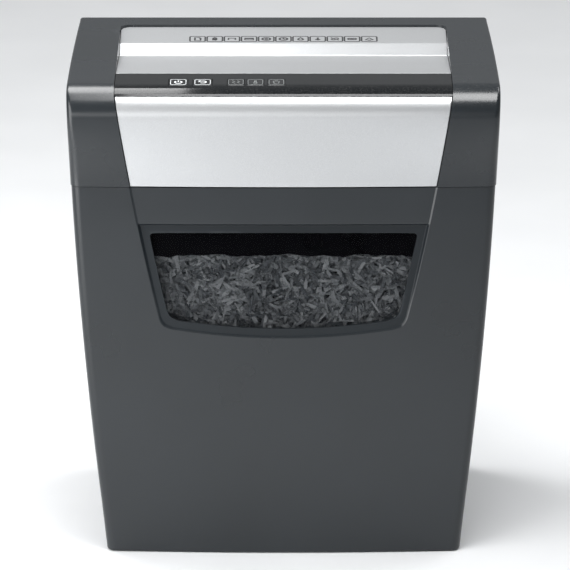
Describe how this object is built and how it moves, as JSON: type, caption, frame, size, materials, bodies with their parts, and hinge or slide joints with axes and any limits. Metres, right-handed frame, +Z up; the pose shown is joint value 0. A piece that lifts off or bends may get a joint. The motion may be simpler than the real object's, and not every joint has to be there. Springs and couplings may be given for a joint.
{
  "type": "paper shredder",
  "caption": "Cross-cut paper shredder: a tapered charcoal waste bin with a window, and a lift-off cutting head with silver panels, a paper slot and touch keys.",
  "frame": {"origin": "bottom centre of the overall box, on the floor under the bin", "axes": "+Z up, -Y out of the front with the window and the fascia, +X to the right seen from the front"},
  "size_m": [0.36, 0.25, 0.407],
  "materials": {
    "housing_plastic": "satin",
    "bin_plastic": "satin",
    "silver_plastic": "satin",
    "fascia_silver": "satin",
    "black_gloss": "gloss",
    "smoked_window": "gloss",
    "black_nylon": "matte",
    "nylon": "satin",
    "cutter_steel": "satin",
    "dark_steel": "satin",
    "bronze": "satin",
    "board": "satin",
    "shreds": "matte"
  },
  "bodies": {
    "bin": {"bin_shell": "bin_plastic", "window_pane": "smoked_window", "shred_heap": "shreds"},
    "head": {"base_screw_1": "dark_steel", "base_screw_2": "dark_steel", "base_screw_3": "dark_steel", "base_screw_4": "dark_steel", "bin_lens": "smoked_window", "control_board": "board", "control_strip": "black_gloss", "cord_gland": "black_nylon", "front_comb": "black_nylon", "front_fascia": "fascia_silver", "front_panel": "silver_plastic", "front_paper_guide": "black_nylon", "gear_cover": "dark_steel", "head_base": "black_nylon", "head_housing": "housing_plastic", "heat_lens": "smoked_window", "idler_axle_1": "cutter_steel", "idler_axle_2": "cutter_steel", "interlock_switch": "black_nylon", "jam_lens": "smoked_window", "left_front_bush": "bronze", "left_rear_bush": "bronze", "left_side_plate": "cutter_steel", "mains_switch_frame": "black_nylon", "motor": "dark_steel", "power_board": "board", "rear_comb": "black_nylon", "rear_panel": "silver_plastic", "rear_paper_guide": "black_nylon", "right_front_bush": "bronze", "right_rear_bush": "bronze", "right_side_plate": "cutter_steel", "tie_rod_1": "dark_steel", "tie_rod_2": "dark_steel", "tie_rod_3": "dark_steel"},
    "front_cutter_body": {"front_cutter": "cutter_steel", "front_sync_gear": "dark_steel", "final_gear": "dark_steel"},
    "rear_cutter_body": {"rear_cutter": "cutter_steel", "rear_sync_gear": "dark_steel"},
    "idler_1_body": {"idler_gear_1": "nylon"},
    "idler_2_body": {"idler_gear_2": "nylon"},
    "rotor_body": {"motor_rotor": "dark_steel"},
    "power_key_body": {"power_key": "black_gloss"},
    "reverse_key_body": {"reverse_key": "black_gloss"},
    "feeler_body": {"paper_feeler": "black_nylon"},
    "rocker_body": {"mains_rocker": "black_nylon"}
  },
  "joints": [
    {"name": "head_lift", "type": "slide", "parent": "bin", "child": "head", "axis": [0, 0, 1], "range_m": [0, 0.15]},
    {"name": "front_cutter_spin", "type": "hinge", "parent": "head", "child": "front_cutter_body", "pos_m": [0, 0.0204, 0.36], "axis": [1, 0, 0], "continuous": true},
    {"name": "rear_cutter_spin", "type": "hinge", "parent": "head", "child": "rear_cutter_body", "pos_m": [0, 0.0504, 0.36], "axis": [1, 0, 0], "continuous": true},
    {"name": "idler_2_spin", "type": "hinge", "parent": "head", "child": "idler_2_body", "pos_m": [0.13, -0.0121, 0.36573], "axis": [1, 0, 0], "continuous": true},
    {"name": "idler_1_spin", "type": "hinge", "parent": "head", "child": "idler_1_body", "pos_m": [0.139, -0.03155, 0.35211], "axis": [1, 0, 0], "continuous": true},
    {"name": "rotor_spin", "type": "hinge", "parent": "head", "child": "rotor_body", "pos_m": [0.12, -0.05317, 0.35997], "axis": [1, 0, 0], "continuous": true},
    {"name": "power_key_press", "type": "slide", "parent": "head", "child": "power_key_body", "axis": [0, 0, 1], "range_m": [-0.001, 0], "stiffness_N_per_m": 400},
    {"name": "reverse_key_press", "type": "slide", "parent": "head", "child": "reverse_key_body", "axis": [0, 0, 1], "range_m": [-0.001, 0], "stiffness_N_per_m": 400},
    {"name": "feeler_tip", "type": "hinge", "parent": "head", "child": "feeler_body", "pos_m": [0, 0.024, 0.389], "axis": [1, 0, 0], "range_deg": [-25, 0], "stiffness_Nm_per_rad": 0.002},
    {"name": "rocker_tip", "type": "hinge", "parent": "head", "child": "rocker_body", "pos_m": [0.112, 0.12, 0.352], "axis": [1, 0, 0], "range_deg": [-16, 0]}
  ],
  "couplings": [
    {"joint": "rear_cutter_spin", "follows": "front_cutter_spin", "ratio": -1},
    {"joint": "idler_2_spin", "follows": "front_cutter_spin", "ratio": -3.4},
    {"joint": "idler_1_spin", "follows": "front_cutter_spin", "ratio": 9.52},
    {"joint": "rotor_spin", "follows": "front_cutter_spin", "ratio": -34.272}
  ]
}
